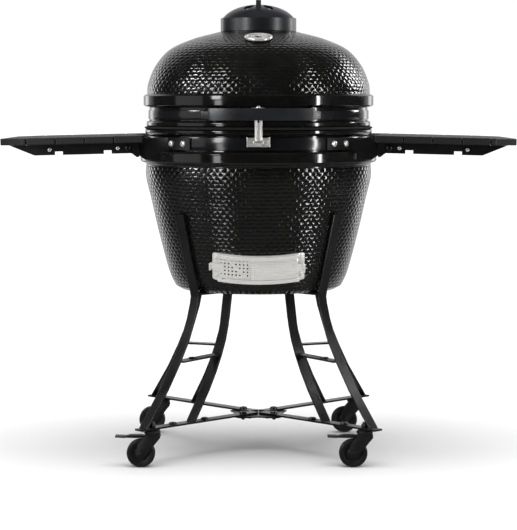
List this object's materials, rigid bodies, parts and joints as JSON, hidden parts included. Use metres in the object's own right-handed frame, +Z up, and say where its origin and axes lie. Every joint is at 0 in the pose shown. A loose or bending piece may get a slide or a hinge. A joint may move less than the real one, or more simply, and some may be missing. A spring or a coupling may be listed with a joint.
{
  "type": "kamado ceramic grill",
  "caption": "Egg-shaped ceramic charcoal grill with hinged domed lid, top vent, lower draft door, fold-down side shelves and a wheeled four-legged steel cart.",
  "frame": {"origin": "on the floor, under the vertical axis of the bowl, at the middle of the shelves' span and of the depth", "axes": "+Z up; +X to the right-hand shelf as seen from the front; the front, with the handle, latch and draft door, faces -Y"},
  "size_m": [1.3714, 0.696, 1.235],
  "materials": {
    "glaze_black": "black glossy glaze with a fine dimpled texture",
    "firebrick": "bare buff ceramic",
    "felt": "black woven mesh gasket",
    "steel_band": "black gloss paint on a steel band",
    "steel_door": "brushed stainless sheet",
    "steel_wire": "polished stainless wire",
    "grate_steel": "stainless rod",
    "grate_iron": "raw cast iron",
    "vent_cast": "dark blue-grey satin powder coat on a casting",
    "gauge": "bright stainless bezel",
    "handle_coat": "dark grey satin powder coat",
    "black_coat": "black satin powder coat",
    "shelf_board": "charcoal grained board",
    "caster_black": "black plastic"
  },
  "bodies": {
    "base": {"bowl": "glaze_black", "bowl_band": "steel_band", "felt_ring": "felt", "firebox": "firebrick", "charcoal_grate": "grate_iron", "cooking_grate": "grate_steel", "draft_frame": "steel_door", "latch_bracket": "black_coat", "hinge_base": "black_coat", "bracket_right_front": "black_coat", "bracket_right_rear": "black_coat", "bracket_left_front": "black_coat", "bracket_left_rear": "black_coat", "hub_plate": "black_coat", "leg_outer_rear_right": "black_coat", "leg_inner_rear_right": "black_coat", "arm_rear_right": "black_coat", "leg_outer_rear_left": "black_coat", "leg_inner_rear_left": "black_coat", "arm_rear_left": "black_coat", "leg_outer_front_left": "black_coat", "leg_inner_front_left": "black_coat", "arm_front_left": "black_coat", "leg_outer_front_right": "black_coat", "leg_inner_front_right": "black_coat", "arm_front_right": "black_coat"},
    "lid": {"lid_shell": "glaze_black", "lid_band": "steel_band", "lid_handle": "handle_coat", "hinge_arm": "black_coat", "vent_base": "vent_cast", "thermometer": "gauge"},
    "vent_cap": {"vent_cap": "vent_cast"},
    "latch_bail": {"latch_bail": "steel_wire"},
    "draft_door": {"draft_door": "steel_door"},
    "draft_screen": {"draft_screen": "steel_door"},
    "shelf_right": {"shelf_right_slat_1": "shelf_board", "shelf_right_slat_2": "shelf_board", "shelf_right_slat_3": "shelf_board", "shelf_right_slat_4": "shelf_board", "shelf_right_slat_5": "shelf_board", "shelf_right_frame": "black_coat"},
    "shelf_left": {"shelf_left_slat_1": "shelf_board", "shelf_left_slat_2": "shelf_board", "shelf_left_slat_3": "shelf_board", "shelf_left_slat_4": "shelf_board", "shelf_left_slat_5": "shelf_board", "shelf_left_frame": "black_coat"},
    "fork_rear_right": {"fork_rear_right": "black_coat"},
    "wheel_rear_right": {"wheel_rear_right": "caster_black"},
    "fork_rear_left": {"fork_rear_left": "black_coat"},
    "wheel_rear_left": {"wheel_rear_left": "caster_black"},
    "fork_front_left": {"fork_front_left": "black_coat"},
    "wheel_front_left": {"wheel_front_left": "caster_black"},
    "fork_front_right": {"fork_front_right": "black_coat"},
    "wheel_front_right": {"wheel_front_right": "caster_black"},
    "brake_front_left": {"brake_front_left": "caster_black"},
    "brake_front_right": {"brake_front_right": "caster_black"}
  },
  "joints": [
    {"name": "lid_hinge", "type": "hinge", "parent": "base", "child": "lid", "pos_m": [0, 0.337, 0.894], "axis": [-1, 0, 0], "range_deg": [0, 75]},
    {"name": "vent_turn", "type": "hinge", "parent": "lid", "child": "vent_cap", "pos_m": [0, 0, 1.2], "axis": [0, 0, 1], "continuous": true},
    {"name": "latch_swing", "type": "hinge", "parent": "lid", "child": "latch_bail", "pos_m": [0, -0.317, 0.94], "axis": [-1, 0, 0], "range_deg": [0, 20]},
    {"name": "draft_door_slide", "type": "hinge", "parent": "base", "child": "draft_door", "pos_m": [0, 0, 0.6006], "axis": [0, -0.309, 0.9511], "range_deg": [-17.5, 0]},
    {"name": "draft_screen_slide", "type": "hinge", "parent": "base", "child": "draft_screen", "pos_m": [0, 0, 0.6006], "axis": [0, -0.309, 0.9511], "range_deg": [0, 17]},
    {"name": "shelf_right_fold", "type": "hinge", "parent": "base", "child": "shelf_right", "pos_m": [0.345, 0, 0.838], "axis": [0, 1, 0], "range_deg": [0, 88]},
    {"name": "shelf_left_fold", "type": "hinge", "parent": "base", "child": "shelf_left", "pos_m": [-0.345, 0, 0.838], "axis": [0, -1, 0], "range_deg": [0, 88]},
    {"name": "swivel_rear_right", "type": "hinge", "parent": "base", "child": "fork_rear_right", "pos_m": [0.2793, 0.2793, 0.1], "axis": [0, 0, 1], "continuous": true},
    {"name": "roll_rear_right", "type": "hinge", "parent": "fork_rear_right", "child": "wheel_rear_right", "pos_m": [0.2493, 0.2793, 0.0375], "axis": [0, 1, 0], "continuous": true},
    {"name": "swivel_rear_left", "type": "hinge", "parent": "base", "child": "fork_rear_left", "pos_m": [-0.2793, 0.2793, 0.1], "axis": [0, 0, 1], "continuous": true},
    {"name": "roll_rear_left", "type": "hinge", "parent": "fork_rear_left", "child": "wheel_rear_left", "pos_m": [-0.3093, 0.2793, 0.0375], "axis": [0, 1, 0], "continuous": true},
    {"name": "swivel_front_left", "type": "hinge", "parent": "base", "child": "fork_front_left", "pos_m": [-0.2793, -0.2793, 0.1], "axis": [0, 0, 1], "continuous": true},
    {"name": "roll_front_left", "type": "hinge", "parent": "fork_front_left", "child": "wheel_front_left", "pos_m": [-0.3093, -0.2793, 0.0375], "axis": [0, 1, 0], "continuous": true},
    {"name": "swivel_front_right", "type": "hinge", "parent": "base", "child": "fork_front_right", "pos_m": [0.2793, -0.2793, 0.1], "axis": [0, 0, 1], "continuous": true},
    {"name": "roll_front_right", "type": "hinge", "parent": "fork_front_right", "child": "wheel_front_right", "pos_m": [0.2493, -0.2793, 0.0375], "axis": [0, 1, 0], "continuous": true},
    {"name": "brake_front_left", "type": "hinge", "parent": "fork_front_left", "child": "brake_front_left", "pos_m": [-0.2933, -0.2793, 0.081], "axis": [0, -1, 0], "range_deg": [0, 8]},
    {"name": "brake_front_right", "type": "hinge", "parent": "fork_front_right", "child": "brake_front_right", "pos_m": [0.2653, -0.2793, 0.081], "axis": [0, -1, 0], "range_deg": [0, 8]}
  ]
}
